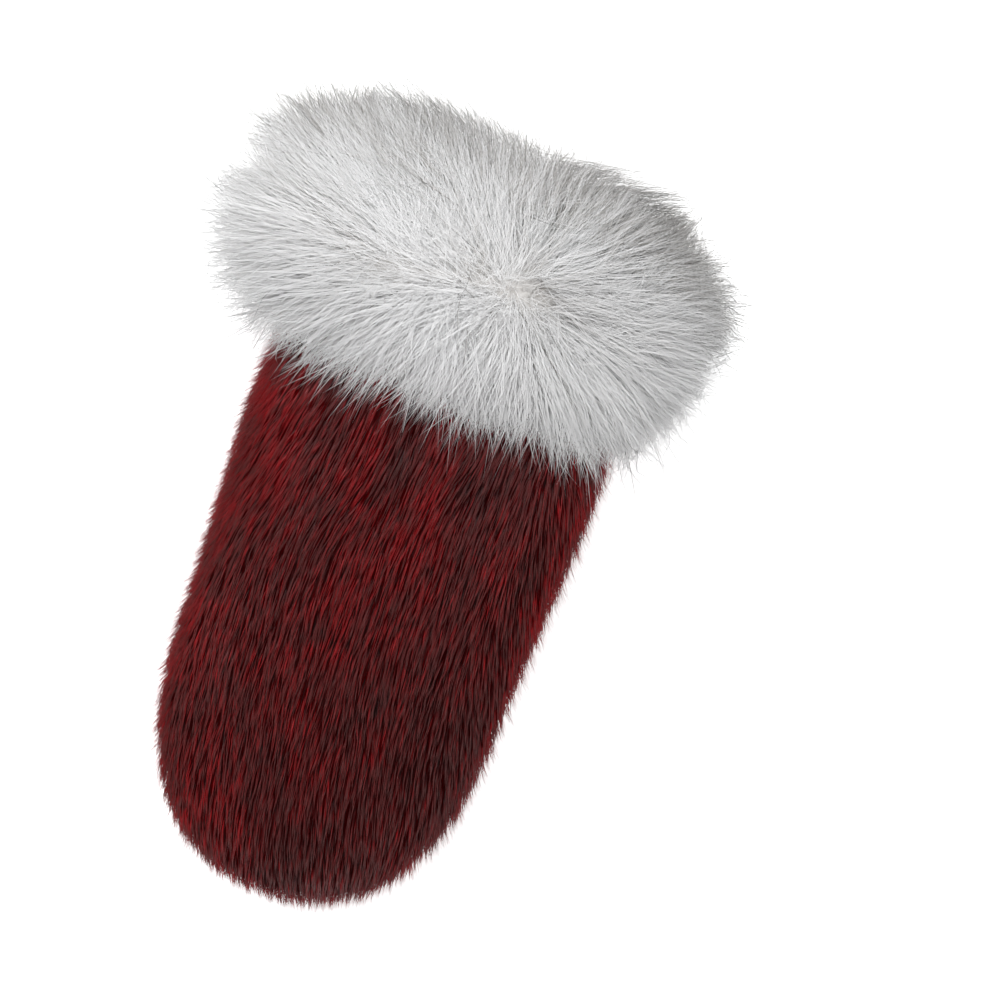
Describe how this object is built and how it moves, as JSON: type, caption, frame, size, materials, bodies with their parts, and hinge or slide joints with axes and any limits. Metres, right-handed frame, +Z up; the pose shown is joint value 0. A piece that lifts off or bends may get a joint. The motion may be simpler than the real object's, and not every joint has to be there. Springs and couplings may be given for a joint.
{
  "type": "fur mitten",
  "caption": "Right-hand dyed fur mitten with a long-haired fur cuff, lying palm down with its thumb folded flat under the palm.",
  "frame": {"origin": "below the middle of the whole mitten, on the surface it lies on", "axes": "+Y from the closed tip towards the wrist opening, +X towards the thumb side, +Z up out of the back of the hand"},
  "size_m": [0.206, 0.2916, 0.0801],
  "materials": {
    "back_pelt": "short glossy fur, dyed deep red with dark tips",
    "palm_pelt": "short glossy fur, dyed deep red",
    "thumb_pelt": "short glossy fur, dyed deep red",
    "cuff_fur": "long soft white fur with a few dark guard hairs"
  },
  "bodies": {
    "root": {"hand_back": "back_pelt", "hand_palm": "palm_pelt", "thumb": "thumb_pelt", "fur_cuff": "cuff_fur"}
  },
  "joints": []
}
